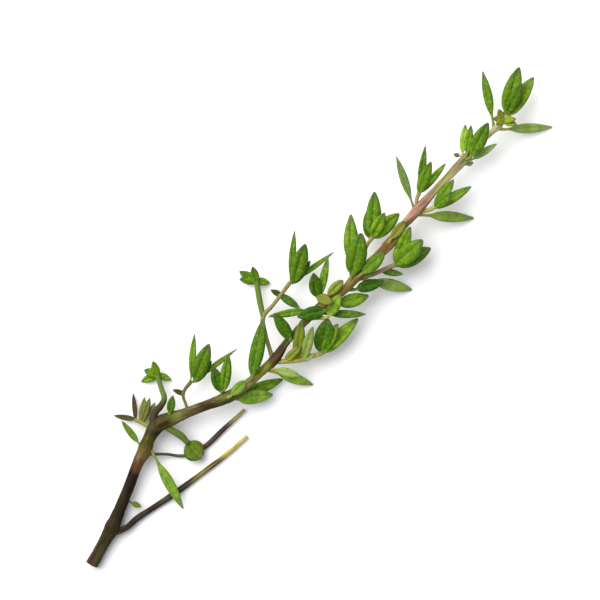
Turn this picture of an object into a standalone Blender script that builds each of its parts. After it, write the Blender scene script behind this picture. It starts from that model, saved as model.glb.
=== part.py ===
"""A cut sprig of thyme lying on a flat surface.

The frame has +Z up and the surface at z = 0. +X runs from the cut end of the
stem towards the growing tip, +Y is to the left of that. All the design
numbers are in millimetres and degrees.

The stem carries ten whorls, counted from the cut end. Each whorl has leaves
of its own, and most have young side shoots, which are a stalk with a few
small leaves grown together with it. Every leaf, stem and shoot is one piece.
"""

import math
from collections import namedtuple

import bmesh
import bpy
from mathutils import Euler, Vector

MM = 0.001
MIDDLE = (59.9, 4.2)  # middle of the sprig's box, measured from the cut end
LEAF_THICKNESS = 0.45
PETIOLE_SHARE = 0.10  # of a leaf's length
NARROWEST = 0.24  # of a leaf's width, at its petiole and its tip
LEAF_ARCH = 0.25  # how far a leaf's edges hang down, as a share of its half width
STALK_OVERLAP = 0.35  # how deep a leaf of a shoot sits in its stalk
STEM_STEP = 1.9  # between two rings of points along a stem
SHOOT_STEP = 1.6
TUBE_RESOLUTION = 2  # eight sides
LOWEST_RISE = -80  # where the search for a resting leaf's slope starts
SEARCH_STEPS = 40

# The stem's centre line: along, across, height and radius.
MAIN_STEM = (
    (-0.3, 0.5, 1.25, 1.25),
    (3.9, 1.5, 1.35, 1.20),
    (7.1, 2.3, 1.50, 1.35),
    (11.4, 3.8, 1.70, 1.15),
    (15.5, 5.3, 1.95, 1.10),
    (19.0, 6.7, 2.20, 1.15),
    (21.9, 7.5, 2.45, 1.30),
    (24.1, 8.3, 2.70, 1.25),
    (26.4, 8.8, 2.95, 1.45),
    (29.0, 8.0, 3.25, 1.38),
    (32.1, 6.4, 3.60, 1.05),
    (35.7, 4.6, 3.95, 1.00),
    (39.3, 2.8, 4.25, 1.10),
    (43.0, 1.9, 4.50, 0.97),
    (46.5, 1.4, 4.70, 0.90),
    (50.3, 1.1, 4.90, 0.98),
    (54.2, 1.6, 5.10, 0.72),
    (58.8, 1.6, 5.25, 0.75),
    (63.3, 1.3, 5.40, 0.98),
    (67.5, 0.3, 5.45, 0.82),
    (72.0, 0.2, 5.50, 1.02),
    (75.8, 0.0, 5.45, 0.84),
    (79.9, -0.2, 5.35, 1.00),
    (83.9, 0.1, 5.25, 0.80),
    (88.3, 0.2, 5.15, 0.95),
    (93.5, 0.2, 5.00, 0.70),
    (99.8, 0.1, 4.85, 0.80),
    (105.1, 0.0, 4.70, 0.60),
    (109.6, -0.4, 4.60, 0.65),
    (110.3, -0.4, 4.60, 0.50),
)

# The point of the stem's centre line that each whorl sits on.
WHORLS = {
    "fork": MAIN_STEM[2],
    "whorl_0": MAIN_STEM[6],
    "whorl_1": MAIN_STEM[9],
    "whorl_2": MAIN_STEM[12],
    "whorl_3": MAIN_STEM[15],
    "whorl_4": MAIN_STEM[18],
    "whorl_5": MAIN_STEM[20],
    "whorl_6": MAIN_STEM[22],
    "whorl_7": MAIN_STEM[24],
    "whorl_8": MAIN_STEM[26],
    "whorl_9": MAIN_STEM[28],
}

# A leaf: its base from the whorl or from its stalk's end, the way it points
# in plan (0 is towards the tip, 90 is left), how steeply it rises from its
# base, its length and width, how far it bends down along its length, how far
# it is rolled about its own length, and whether its tip rests on the surface.
Leaf = namedtuple(
    "Leaf", "name base heading rise length width bend roll rests", defaults=(10, 0, False)
)

LEAVES = {
    "fork": (
        Leaf("leaf_stub", (6.0, 0.5, 0.1), -72, 0, 2.0, 1.0),
    ),
    "whorl_0": (
        Leaf("whorl_0_left_leaf", (0.2, 1.7, 0.1), 80, 0, 5.1, 1.2),
        Leaf("whorl_0_right_leaf", (0.4, -2.0, 0.45), -109, 4, 11.2, 1.9, 14),
    ),
    "whorl_1": (
        Leaf("whorl_1_top_leaf", (0.9, 0.6, 1.2), 32, 24, 3.6, 1.5),
    ),
    "whorl_2": (
        Leaf("whorl_2_top_leaf", (0.65, -0.3, 1.6), -3, 14, 3.9, 1.9),
        Leaf("whorl_2_right_leaf", (0.9, -1.5, -0.6), -42, 0, 6.8, 2.6, 18),
        Leaf("whorl_2_under_leaf", (1.6, -1.4, -1.5), -27, -2, 8.8, 2.2, 14),
    ),
    "whorl_3": (
        Leaf("whorl_3_left_leaf", (-5.4, 0.8, 1.2), 31, 14, 11.2, 2.6, 16),
        Leaf("whorl_3_back_leaf", (4.6, 0.1, 1.3), 75, 18, 6.0, 2.3),
        Leaf("whorl_3_pale_leaf", (-1.3, -1.4, 0.3), -62, 0, 4.7, 1.6, 14),
        Leaf("whorl_3_right_leaf", (-1.9, -1.35, -0.6), -66, -8, 8.7, 1.9, 16, 0, True),
    ),
    "whorl_4": (
        Leaf("whorl_4_across_leaf", (-2.4, 1.5, 0.1), 142, 10, 7.1, 1.4),
        Leaf("whorl_4_top_leaf", (2.0, 0.5, 1.25), -4, 12, 4.1, 1.8),
        Leaf("whorl_4_front_leaf", (-0.7, -2.2, 1.15), 15, 12, 4.8, 2.3),
        Leaf("whorl_4_dark_leaf", (-0.1, -1.1, 1.35), 145, 8, 5.4, 2.5, 14),
        Leaf("whorl_4_far_right_leaf", (-0.2, -1.9, -0.2), -49, 6, 6.8, 1.5),
        Leaf("whorl_4_right_leaf", (2.2, -2.0, -0.2), -32, 0, 6.0, 2.5, 18),
    ),
    "whorl_5": (
        Leaf("whorl_5_left_leaf", (-0.3, 1.5, 0.1), 42, 14, 10.4, 2.7, 16),
        Leaf("whorl_5_broad_leaf", (-1.1, 0.7, 1.25), 30, 32, 8.9, 3.7, 16),
        Leaf("whorl_5_top_leaf", (0.5, -0.35, 1.6), -5, 18, 5.9, 2.5),
        Leaf("whorl_5_right_leaf", (0.5, -1.9, -0.8), -60, -8, 9.6, 2.2, 20, 0, True),
        Leaf("whorl_5_under_leaf", (-2.3, -1.4, 0.1), -31, 2, 5.5, 2.2),
    ),
    "whorl_6": (
        Leaf("whorl_6_bud", (0.9, 0.4, 1.25), 3, 9, 4.2, 1.8),
    ),
    "whorl_7": (
        Leaf("whorl_7_left_leaf", (-0.1, 1.3, 0.0), 61, 8, 9.4, 1.5, 16),
        Leaf("whorl_7_right_leaf", (-0.3, -1.3, -0.4), -51, -8, 10.6, 2.0, 18, 0, True),
    ),
    "whorl_8": (
        Leaf("whorl_8_left_leaf", (1.5, 1.0, 0.35), 37, 8, 5.3, 1.5),
        Leaf("whorl_8_top_leaf", (2.0, -0.6, 1.35), 16, 28, 7.4, 2.7, 14),
        Leaf("whorl_8_middle_leaf", (1.8, 0.25, 1.0), 34, 15, 5.5, 1.5),
        Leaf("whorl_8_right_leaf", (1.9, -1.1, 0.0), -15, 11, 5.3, 1.3),
        Leaf("whorl_8_small_leaf", (0.8, 1.0, 0.3), 116, 5, 1.2, 0.8),
        Leaf("whorl_8_under_leaf", (0.45, -0.95, -0.7), -30, 0, 1.4, 0.9),
    ),
    "whorl_9": (
        Leaf("whorl_9_left_leaf", (-0.3, 1.2, -0.1), 54, -2, 9.7, 1.7, 12),
        Leaf("whorl_9_right_leaf", (0.05, -1.15, -0.3), -44, -30, 9.9, 1.8, -14, 0, True),
    ),
}

# A bare twig: the whorl it leaves, then the points of its centre line from
# that whorl, each with a radius.
TWIGS = {
    "lower_twig": (
        "fork",
        (
            (2.0, -1.9, -0.2, 0.55),
            (4.4, -2.2, -0.6, 0.58),
            (8.0, -3.1, -0.85, 0.55),
            (12.0, -4.1, -0.9, 0.52),
            (17.5, -5.2, -0.95, 0.50),
            (23.5, -6.3, -0.95, 0.46),
            (29.3, -7.0, -0.9, 0.36),
        ),
    ),
    "fine_twig": (
        "whorl_0",
        (
            (0.7, -1.9, -0.6, 0.34),
            (2.1, -3.5, -1.4, 0.31),
            (3.7, -5.7, -1.9, 0.34),
            (5.7, -7.2, -1.95, 0.42),
            (8.2, -7.8, -1.95, 0.48),
            (12.5, -8.1, -1.9, 0.46),
            (17.8, -8.6, -1.8, 0.34),
        ),
    ),
}

# A side shoot: the whorl it leaves, its stalks (points from the whorl with a
# radius, the first stalk starting beside the stem), and the leaves at the
# places named by a stalk's number and point number.
SHOOTS = {
    "withered_shoot": (
        "whorl_1",
        (
            ((-3.6, 2.5, -0.7, 0.44), (-3.8, 3.3, -1.3, 0.44), (-4.2, 4.5, -1.9, 0.42)),
        ),
        (
            ((0, 2), Leaf("", (0, 0.2, 0), 123, -6, 4.3, 1.0)),
            ((0, 2), Leaf("", (0.2, 0.1, 0.1), 48, -2, 5.1, 0.9)),
            ((0, 1), Leaf("", (0.3, 0.4, 0), 34, 4, 4.6, 1.3)),
            ((0, 1), Leaf("", (0.4, 0.1, 0.2), 24, 14, 4.8, 1.3)),
            ((0, 1), Leaf("", (0.5, -0.3, 0), 13, 4, 4.4, 1.2)),
        ),
    ),
    "whorl_1_left_shoot": (
        "whorl_1",
        (
            ((-0.9, 2.7, 0.1, 0.77), (0.9, 2.75, 0, 0.67), (2.3, 3.2, -0.4, 0.60),
             (3.2, 4.7, -1.2, 0.55), (4.6, 7.0, -1.9, 0.50)),
        ),
        (
            ((0, 4), Leaf("", (0.2, -0.1, -0.1), -72, -4, 2.9, 1.3)),
            ((0, 4), Leaf("", (-0.1, 0.2, 0.1), 158, -4, 3.5, 1.6, 8)),
            ((0, 4), Leaf("", (0, 0, 0.25), 110, 10, 3.0, 1.7)),
            ((0, 4), Leaf("", (0, 0, 0.15), 60, 28, 3.3, 1.5)),
        ),
    ),
    "whorl_1_right_shoot": (
        "whorl_1",
        (
            ((-1, -2.05, -0.3, 0.65), (-0.7, -3.7, -0.8, 0.72),
             (-0.8, -5.5, -1.3, 0.55)),
        ),
        (
            ((0, 2), Leaf("", (0, 0, 0), -98, 8, 4.1, 3.9)),
        ),
    ),
    "whorl_2_left_shoot": (
        "whorl_2",
        (
            ((-6.2, 4.6, -0.8, 0.31), (-5, 6.4, -0.8, 0.35), (-2.2, 6.9, -0.8, 0.45)),
        ),
        (
            ((0, 1), Leaf("", (0, 0, 0), 112, 4, 2.4, 1.0)),
            ((0, 2), Leaf("", (0, 0.2, 0), 37, 20, 9.2, 1.3)),
            ((0, 2), Leaf("", (0.5, -0.4, 0.1), 20, 38, 8.7, 2.9, 16)),
            ((0, 2), Leaf("", (0.2, -0.3, 0), -11, 6, 10.3, 1.0, 8)),
            ((0, 2), Leaf("", (0.2, -0.4, 0.1), 2, 24, 5.6, 1.9)),
        ),
    ),
    "whorl_2_left_pair": (
        "whorl_2",
        (
            ((0.05, 1.25, 0.5, 0.41), (0.25, 1.65, 1.15, 0.47)),
        ),
        (
            ((0, 1), Leaf("", (-0.2, 0.1, 0), 60, 14, 5.0, 2.2)),
            ((0, 1), Leaf("", (0.3, -0.3, 0.1), 34, 22, 7.2, 2.0)),
        ),
    ),
    "whorl_3_left_shoot": (
        "whorl_3",
        (
            ((0.6, 1.7, 0, 0.45), (2.4, 4.6, -0.7, 0.45), (4.3, 6.8, -1.2, 0.51),
             (6.8, 6.9, -1.3, 0.41), (9.4, 7.1, -1.4, 0.43), (12.3, 7.4, -1.4, 0.47)),
            ((4.3, 6.8, -1.2, 0.52), (6, 9.2, -2.3, 0.60), (8.3, 12.1, -3.4, 0.52)),
        ),
        (
            ((0, 4), Leaf("", (0, 0, 0), 105, 10, 2.4, 1.1)),
            ((0, 4), Leaf("", (0, 0, 0), -82, 6, 4.6, 1.5)),
            ((0, 5), Leaf("", (0, 0, 0), 37, 20, 10.2, 1.3)),
            ((0, 5), Leaf("", (0.6, -0.5, 0.1), 26, 38, 8.7, 2.9, 16)),
            ((0, 5), Leaf("", (0.2, -0.3, 0), -12, 6, 9.9, 1.0, 8)),
            ((0, 5), Leaf("", (0.2, -0.4, 0.1), 3, 24, 5.8, 1.9)),
            ((1, 2), Leaf("", (0.2, -0.1, -0.1), -60, -4, 2.7, 1.4)),
            ((1, 2), Leaf("", (0, 0.2, 0.1), 128, -4, 3.4, 1.7, 8)),
            ((1, 2), Leaf("", (0, 0, 0.25), 102, 12, 4.0, 1.7)),
            ((1, 2), Leaf("", (0, 0, 0.15), 57, 30, 3.4, 1.5)),
        ),
    ),
    "whorl_3_right_shoot": (
        "whorl_3",
        (
            ((0.8, -1.5, -0.3, 0.51), (3, -3.5, -0.7, 0.51), (6.6, -5.6, -1, 0.51)),
        ),
        (
            ((0, 1), Leaf("", (-0.5, 0.3, 0.1), 36, 28, 8.6, 2.1)),
            ((0, 1), Leaf("", (0.5, -0.3, 0.1), 26, 36, 7.6, 1.9)),
            ((0, 0), Leaf("", (0.3, -0.2, 0.2), -4, 24, 4.6, 1.6)),
            ((0, 1), Leaf("", (0.4, -0.5, 0), -18, 18, 2.8, 1.2)),
            ((0, 2), Leaf("", (0, 0, 0), 32, 26, 7.2, 3.7, 14)),
            ((0, 2), Leaf("", (0.2, -0.1, 0), -3, 4, 9.4, 2.5)),
            ((0, 2), Leaf("", (0.1, 0, 0.1), 14, 20, 6.6, 2.3)),
        ),
    ),
    "whorl_4_left_pair": (
        "whorl_4",
        (
            ((0.6, 1.3, 0.5, 0.41), (0.85, 1.75, 1.2, 0.47)),
        ),
        (
            ((0, 1), Leaf("", (-0.1, 0, 0.2), 52, 26, 5.0, 2.4)),
            ((0, 1), Leaf("", (0.3, -0.2, 0), 31, 14, 7.6, 1.5)),
            ((0, 1), Leaf("", (0.0, -0.1, 0.3), -72, 26, 3.4, 2.0)),
        ),
    ),
    "whorl_5_left_shoot": (
        "whorl_5",
        (
            ((2.7, 1.3, -0.2, 0.41), (5.2, 2.5, -0.5, 0.39), (6.9, 2.7, -0.6, 0.45)),
        ),
        (
            ((0, 2), Leaf("", (0, 0, 0), 40, 16, 8.8, 2.8)),
            ((0, 2), Leaf("", (-0.4, 0.3, 0), 48, -2, 5.4, 2.2)),
            ((0, 2), Leaf("", (0, 0, 0), -6, 14, 6.9, 2.8)),
            ((0, 2), Leaf("", (0, 0, 0), 16, 40, 6.3, 2.3)),
        ),
    ),
    "whorl_5_right_shoot": (
        "whorl_5",
        (
            ((1.3, -1.6, -0.3, 0.47), (3.4, -2.6, -0.6, 0.47), (6, -3.8, -0.7, 0.51)),
        ),
        (
            ((0, 1), Leaf("", (0.1, -0.2, -0.2), -56, 8, 4.2, 1.3)),
            ((0, 2), Leaf("", (0, 0, 0), 21, 22, 8.1, 2.5)),
            ((0, 2), Leaf("", (0.1, 0, 0.1), -6, 38, 8.0, 3.4, 14)),
            ((0, 2), Leaf("", (0.1, -0.2, -0.1), -21, 6, 7.3, 3.0)),
        ),
    ),
    "whorl_7_left_shoot": (
        "whorl_7",
        (
            ((1.1, 1.4, 0.3, 0.39), (2.3, 1.9, 0.4, 0.43)),
        ),
        (
            ((0, 1), Leaf("", (0, 0, 0), 35, 16, 9.2, 1.4)),
            ((0, 1), Leaf("", (0, 0, 0.1), 22, 38, 7.5, 2.1)),
            ((0, 1), Leaf("", (0.1, -0.1, 0), 1, 10, 7.5, 1.4)),
        ),
    ),
    "whorl_7_right_shoot": (
        "whorl_7",
        (
            ((1, -1.45, -0.2, 0.43), (2.4, -2, -0.1, 0.47)),
        ),
        (
            ((0, 1), Leaf("", (0, 0, 0), 8, 22, 6.6, 2.0)),
            ((0, 1), Leaf("", (0, -0.2, 0), -17, 12, 7.9, 1.9)),
            ((0, 1), Leaf("", (0, 0, 0), -8, 50, 5.4, 2.0)),
        ),
    ),
    "growing_tip": (
        "whorl_9",
        (
            ((1.2, 0.1, 0.1, 0.51), (2.3, 0.15, 0.15, 0.50), (3.2, 0.2, 0.3, 0.40)),
        ),
        (
            ((0, 1), Leaf("", (0.2, 0.5, 0.2), 27, 26, 9.4, 3.1, 16)),
            ((0, 1), Leaf("", (0, 0, 0), 8, 10, 8.9, 2.9, 12)),
            ((0, 1), Leaf("", (0.2, 0.2, 0.35), 17, 36, 7.4, 2.1, 12)),
            ((0, 0), Leaf("", (0.0, 0.2, 0.15), 62, 32, 2.5, 1.4)),
            ((0, 0), Leaf("", (0, -0.1, 0.1), -66, 20, 3.0, 1.4)),
            ((0, 0), Leaf("", (0, 0, 0.2), -43, 30, 2.9, 1.4)),
            ((0, 0), Leaf("", (-0.1, 0, 0.5), 166, 28, 1.9, 1.2)),
            ((0, 0), Leaf("", (0.1, 0.1, 0.5), 130, 24, 2.4, 1.2)),
        ),
    ),
}

# The colour of each kind of surface, and the pieces that have their own.
COLOURS = {
    "stem_bark": (0.20, 0.12, 0.06),
    "twig_bark": (0.06, 0.045, 0.025),
    "leaf": (0.10, 0.23, 0.03),
    "shoot": (0.14, 0.30, 0.04),
    "withered_leaf": (0.12, 0.10, 0.05),
    "bud": (0.25, 0.17, 0.04),
}
OWN_SURFACES = {"withered_shoot": "withered_leaf", "whorl_6_bud": "bud"}
ROUGHNESS = 0.6


def clear_scene():
    for old in list(bpy.data.objects):
        bpy.data.objects.remove(old, do_unlink=True)


def new_collection(name):
    collection = bpy.data.collections.new(name)
    bpy.context.scene.collection.children.link(collection)
    return collection


def plain_material(name, surface):
    colour = COLOURS[OWN_SURFACES.get(name, surface)]
    material = bpy.data.materials.new(name)
    material.use_nodes = True
    shader = material.node_tree.nodes["Principled BSDF"]
    shader.inputs["Base Color"].default_value = (*colour, 1)
    shader.inputs["Roughness"].default_value = ROUGHNESS
    shader.inputs["Metallic"].default_value = 0
    return material


def smooth_route(points, step):
    """Points about a step apart on a smooth curve through the given ones."""
    ends = [points[0], *points, points[-1]]
    route = []
    for before, start, end, after in zip(ends, ends[1:], ends[2:], ends[3:]):
        cuts = max(1, round((Vector(end[:3]) - Vector(start[:3])).length / step))
        for cut in range(cuts):
            t = cut / cuts
            route.append(
                tuple(
                    0.5 * (2 * b + (c - a) * t + (2 * a - 5 * b + 4 * c - d) * t**2
                           + (3 * b - a - 3 * c + d) * t**3)
                    for a, b, c, d in zip(before, start, end, after)
                )
            )
    return [*route, tuple(points[-1])]


def add_tube(name, points, step, place, collection):
    """A tapering round stem along the points, as one closed mesh."""
    route = smooth_route(points, step)
    curve = bpy.data.curves.new(name, "CURVE")
    curve.dimensions = "3D"
    curve.bevel_depth = MM
    curve.bevel_resolution = TUBE_RESOLUTION
    curve.use_fill_caps = True
    spline = curve.splines.new("POLY")
    spline.points.add(len(route) - 1)
    for point, (along, across, up, radius) in zip(spline.points, route):
        point.co = (along * MM, across * MM, up * MM, 1)
        point.radius = radius
    guide = bpy.data.objects.new(name, curve)
    collection.objects.link(guide)
    graph = bpy.context.evaluated_depsgraph_get()
    mesh = bpy.data.meshes.new_from_object(guide.evaluated_get(graph))
    bpy.data.objects.remove(guide, do_unlink=True)
    cage = bmesh.new()
    cage.from_mesh(mesh)
    bmesh.ops.remove_doubles(cage, verts=cage.verts, dist=1e-6)
    cage.to_mesh(mesh)
    cage.free()
    mesh.shade_smooth()
    tube = bpy.data.objects.new(name, mesh)
    tube.location = place
    collection.objects.link(tube)
    return tube


def leaf_half_width(share):
    """Half the leaf's width as a share of its full width, from base to tip."""
    if share <= PETIOLE_SHARE:
        return NARROWEST / 2
    blade = (share - PETIOLE_SHARE) / (1 - PETIOLE_SHARE)
    return max(NARROWEST, math.sin(math.pi * blade**0.72) ** 0.62) / 2


def leaf_mesh(name, length, width):
    """The leaf's middle surface, standing on its edge: +Y is its upper side."""
    mesh = bpy.data.meshes.new(name)
    cage = bmesh.new()
    bmesh.ops.create_grid(cage, x_segments=6, y_segments=2, size=0.5)
    for vertex in cage.verts:
        share = vertex.co.x + 0.5
        side = vertex.co.y * 2
        half = leaf_half_width(share) * width
        arch = LEAF_ARCH * half * side**2
        vertex.co = Vector((share * length, -arch, -side * half)) * MM
    cage.to_mesh(mesh)
    cage.free()
    return mesh


def turn_of(leaf, rise):
    """The turn that lays the leaf down, then rolls, raises and heads it."""
    angles = (90 + leaf.roll, -rise, leaf.heading)
    return Euler([math.radians(angle) for angle in angles])


def lowest_at(points, turn, base):
    matrix = turn.to_matrix()
    return min((matrix @ point + base).z for point in points)


def resting_rise(leaf, points, base):
    """The rise that just lays the leaf's lowest point on the surface."""
    low, high = LOWEST_RISE, -LOWEST_RISE
    for _ in range(SEARCH_STEPS):
        middle = (low + high) / 2
        if lowest_at(points, turn_of(leaf, middle), base) < 0:
            low = middle
        else:
            high = middle
    return high


def add_leaf(leaf, name, place, collection):
    """One leaf, with its base at the place."""
    blade = bpy.data.objects.new(name, leaf_mesh(name, leaf.length, leaf.width))
    collection.objects.link(blade)
    solid = blade.modifiers.new("Thickness", "SOLIDIFY")
    solid.thickness = LEAF_THICKNESS * MM
    solid.offset = 0
    bend = blade.modifiers.new("Bend", "SIMPLE_DEFORM")
    bend.deform_method = "BEND"
    bend.deform_axis = "Z"
    bend.angle = -math.radians(leaf.bend)
    rise = leaf.rise
    if leaf.rests:
        bpy.context.view_layer.update()
        graph = bpy.context.evaluated_depsgraph_get()
        points = [v.co.copy() for v in blade.evaluated_get(graph).data.vertices]
        rise = resting_rise(leaf, points, place)
    blade.rotation_euler = turn_of(leaf, rise)
    blade.location = place
    return blade


def mm_vector(*parts):
    """The sum of some places in millimetres, as a place in metres."""
    return sum((Vector(part[:3]) for part in parts), Vector()) * MM


def add_shoot(name, collection, cutters):
    """A side shoot: its stalks and leaves joined into one body."""
    whorl, stalks, leaves = SHOOTS[name]
    start = mm_vector(WHORLS[whorl])
    pieces = [add_tube(name, stalk, SHOOT_STEP, start, cutters) for stalk in stalks]
    for number, ((stalk, point), leaf) in enumerate(leaves):
        heading = math.radians(leaf.heading)
        sunk = Vector((-math.cos(heading), -math.sin(heading), 0)) * STALK_OVERLAP
        place = mm_vector(WHORLS[whorl], stalks[stalk][point], leaf.base, sunk)
        pieces.append(add_leaf(leaf, f"{name}_piece_{number}", place, cutters))
    shoot, *others = pieces
    cutters.objects.unlink(shoot)
    collection.objects.link(shoot)
    shoot.name = name
    for other in others:
        other.hide_render = True
        other.display_type = "WIRE"
        join = shoot.modifiers.new("Join", "BOOLEAN")
        join.operation = "UNION"
        join.solver = "EXACT"
        join.object = other
    return shoot


def main():
    clear_scene()
    sprig = new_collection("thyme_sprig")
    cutters = new_collection("shoot_pieces")
    root = bpy.data.objects.new("thyme_sprig_root", None)
    sprig.objects.link(root)
    root.location = (-MIDDLE[0] * MM, -MIDDLE[1] * MM, 0)

    def finish(piece, surface):
        piece.data.materials.append(plain_material(piece.name, surface))
        piece.parent = root

    finish(add_tube("main_stem", MAIN_STEM, STEM_STEP, Vector(), sprig), "stem_bark")
    for name, (whorl, points) in TWIGS.items():
        place = mm_vector(WHORLS[whorl])
        finish(add_tube(name, points, STEM_STEP, place, sprig), "twig_bark")
    for whorl, leaves in LEAVES.items():
        for leaf in leaves:
            place = mm_vector(WHORLS[whorl], leaf.base)
            finish(add_leaf(leaf, leaf.name, place, sprig), "leaf")
    for name in SHOOTS:
        finish(add_shoot(name, sprig, cutters), "shoot")
    for helper in cutters.objects:
        helper.parent = root


main()
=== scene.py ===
# Thyme sprig: fine leaves, shoots, twigs and stem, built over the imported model.
# All the design numbers are in millimetres and degrees, from the cut end of the stem.

import math
import random

import bmesh
import bpy
from mathutils import Matrix, Vector


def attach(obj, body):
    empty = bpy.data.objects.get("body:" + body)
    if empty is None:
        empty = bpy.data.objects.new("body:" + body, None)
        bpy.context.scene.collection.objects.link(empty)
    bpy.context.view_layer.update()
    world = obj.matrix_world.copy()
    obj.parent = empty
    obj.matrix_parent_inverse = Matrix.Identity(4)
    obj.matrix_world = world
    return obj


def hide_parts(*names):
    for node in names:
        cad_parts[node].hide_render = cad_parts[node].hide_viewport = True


mm = 0.001
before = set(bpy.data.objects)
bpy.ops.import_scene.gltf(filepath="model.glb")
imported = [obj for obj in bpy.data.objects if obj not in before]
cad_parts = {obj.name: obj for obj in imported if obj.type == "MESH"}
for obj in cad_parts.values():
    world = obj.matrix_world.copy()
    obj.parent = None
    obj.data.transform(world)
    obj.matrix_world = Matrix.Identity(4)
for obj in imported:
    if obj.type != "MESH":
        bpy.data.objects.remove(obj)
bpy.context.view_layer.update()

sprig = {
    "middle": (59.9, 4.2),  # middle of the footprint from the cut end, which is the frame's origin
    "prefix": "fine_",  # a new piece is named after the node that it stands for
    "seed": 11,
}
chance = random.Random(sprig["seed"])

mainStem = {
    "points": [  # along, across, height, radius
        (-0.3, 0.5, 1.25, 1.18), (3.9, 1.5, 1.35, 1.12), (7.1, 2.3, 1.50, 1.32), (11.4, 3.8, 1.70, 1.08),
        (15.5, 5.3, 1.95, 1.04), (19.0, 6.7, 2.20, 1.06), (21.9, 7.5, 2.45, 1.30), (24.1, 8.3, 2.70, 1.18),
        (26.4, 8.8, 2.95, 1.40), (29.0, 8.0, 3.25, 1.34), (32.1, 6.4, 3.60, 1.00), (35.7, 4.6, 3.95, 0.95),
        (39.3, 2.8, 4.25, 1.08), (43.0, 1.9, 4.50, 0.90), (46.5, 1.4, 4.70, 0.82), (50.3, 1.1, 4.90, 0.92),
        (54.2, 1.6, 5.10, 0.66), (58.8, 1.6, 5.25, 0.68), (63.3, 1.3, 5.40, 0.92), (67.5, 0.3, 5.45, 0.75),
        (72.0, 0.2, 5.50, 0.96), (75.8, 0.0, 5.45, 0.78), (79.9, -0.2, 5.35, 0.96), (83.9, 0.1, 5.25, 0.74),
        (88.3, 0.2, 5.15, 0.95), (93.5, 0.2, 5.00, 0.64), (99.8, 0.1, 4.85, 0.82), (105.1, 0.0, 4.70, 0.54),
        (109.6, -0.4, 4.60, 0.66), (110.3, -0.4, 4.60, 0.50),
    ],
    "rings": 12,  # rings of faces between two points
    "sides": 28,
    "corners": 0.05,  # how far the four corners stand out, as a share of the radius
    "cornerFrom": 0.42,  # a corner is where across times up is more than this, on a circle of radius 1
    "ribs": 0.025,  # how deep the grooves between the fine ribs are, as a share of the radius
    "swellings": [(0.9, 1.03), (0.5, 1.03)],  # at each whorl: within how far of it, and by how much
    "lumps": 0.22,  # height of the uneven bark
    "lumpSize": 1.5,
    "capWithin": 2,  # the cap of the cut end is within this of the start
    "cutFace": [("cutWood", 0.16, -0.05), ("pith", 0.62, -0.10)],  # material, how far in, how far out
}

# a stalk or a twig is led back along its line into the middle of the stem
roots = {
    "reach": 1.2,  # how far back, as a share of its distance from there
    "stalkFlare": 1.15,  # how much thicker it is there
    "twigFlare": 1.2,
}

# the point of the stem that each whorl sits on
whorls = {"fork": 2, 0: 6, 1: 9, 2: 12, 3: 15, 4: 18, 5: 20, 6: 22, 7: 24, 8: 26, 9: 28}


def leaf(base, heading, rise, length, width, bend=10, tone=0.45, dry=0.0, felt=0.0, gold=0.0, kind="lance"):
    # base is measured from the whorl or the stalk, and heading and rise say where the tip points.
    # tone, dry, felt and gold say how light, withered, hairy and yellow it is, from 0 to 1; tones were set
    # leaf by leaf to how light each leaf looks, so they hold painted shade and painted light as well as each
    # leaf's own green
    return {
        "base": base, "heading": heading, "rise": rise, "length": length, "width": width, "bend": bend,
        "kind": kind, "look": {"tone": tone, "dry": dry, "felt": felt, "gold": gold},
    }


def stalk(points, tone=0.5, dry=0.1, flush=0.0, foot=0.0):
    # tone, dry, flush and foot say how yellow, withered, flushed and dark at the foot it is, from 0 to 1
    return {"points": points, "look": {"tone": tone, "dry": dry, "flush": flush, "foot": foot}}


# the outline of each kind of leaf: where it is widest, how full it is below and above that,
# and how much of its length is a stalk
leafKinds = {
    "lance": {"widest": 0.42, "lower": 0.52, "upper": 0.62, "stalk": 0.05},
    "oval": {"widest": 0.50, "lower": 0.44, "upper": 0.48, "stalk": 0.06},
    "needle": {"widest": 0.44, "lower": 0.80, "upper": 0.75, "stalk": 0.12},
}

leafCut = {
    "along": 18,  # faces along and across the sheet that the leaf starts from
    "across": 8,
    "rib": [(0.0, -0.20), (0.20, -0.05), (0.46, 0.03), (0.76, -0.06), (1.0, -0.30)],  # across, up
    "hem": (0.16, -0.14),  # the margin rolls in and under by this
    "nearby": 0.25,  # a vertex is on a row if it is within this share of a face from it
    "thickness": 0.26,
    "wave": 0.30,  # height of the unevenness, on a leaf that is at least as long as waveLength
    "waveSize": 2.0,
    "waveLength": 8,
    "narrowest": 0.24,
    "taper": 0.4,  # how much narrower than that the tip is
    "spread": 1.1,  # the hem and the rounding take this off again
    "depth": (0.8, 1.2),  # leaves differ in how deep their section is, how far they lean, and their twist
    "lean": 6,
    "twist": 14,
    "sunk": 0.35,  # a shoot's leaf starts this far back in its stalk
}

petioleCut = {
    "start": 0.3,  # it starts in the stem, at this share of the way from there to the leaf
    "end": 1.3,  # and ends under the blade, at this share of the leaf's narrow base
    "drop": 0.10,  # how far under the leaf it runs
    "radii": (0.36, 0.27, 0.14),  # for a leaf that is at least as wide as fullWidth
    "fullWidth": 1.8,
    "rings": 5,
    "foot": 0.3,
}

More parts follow.
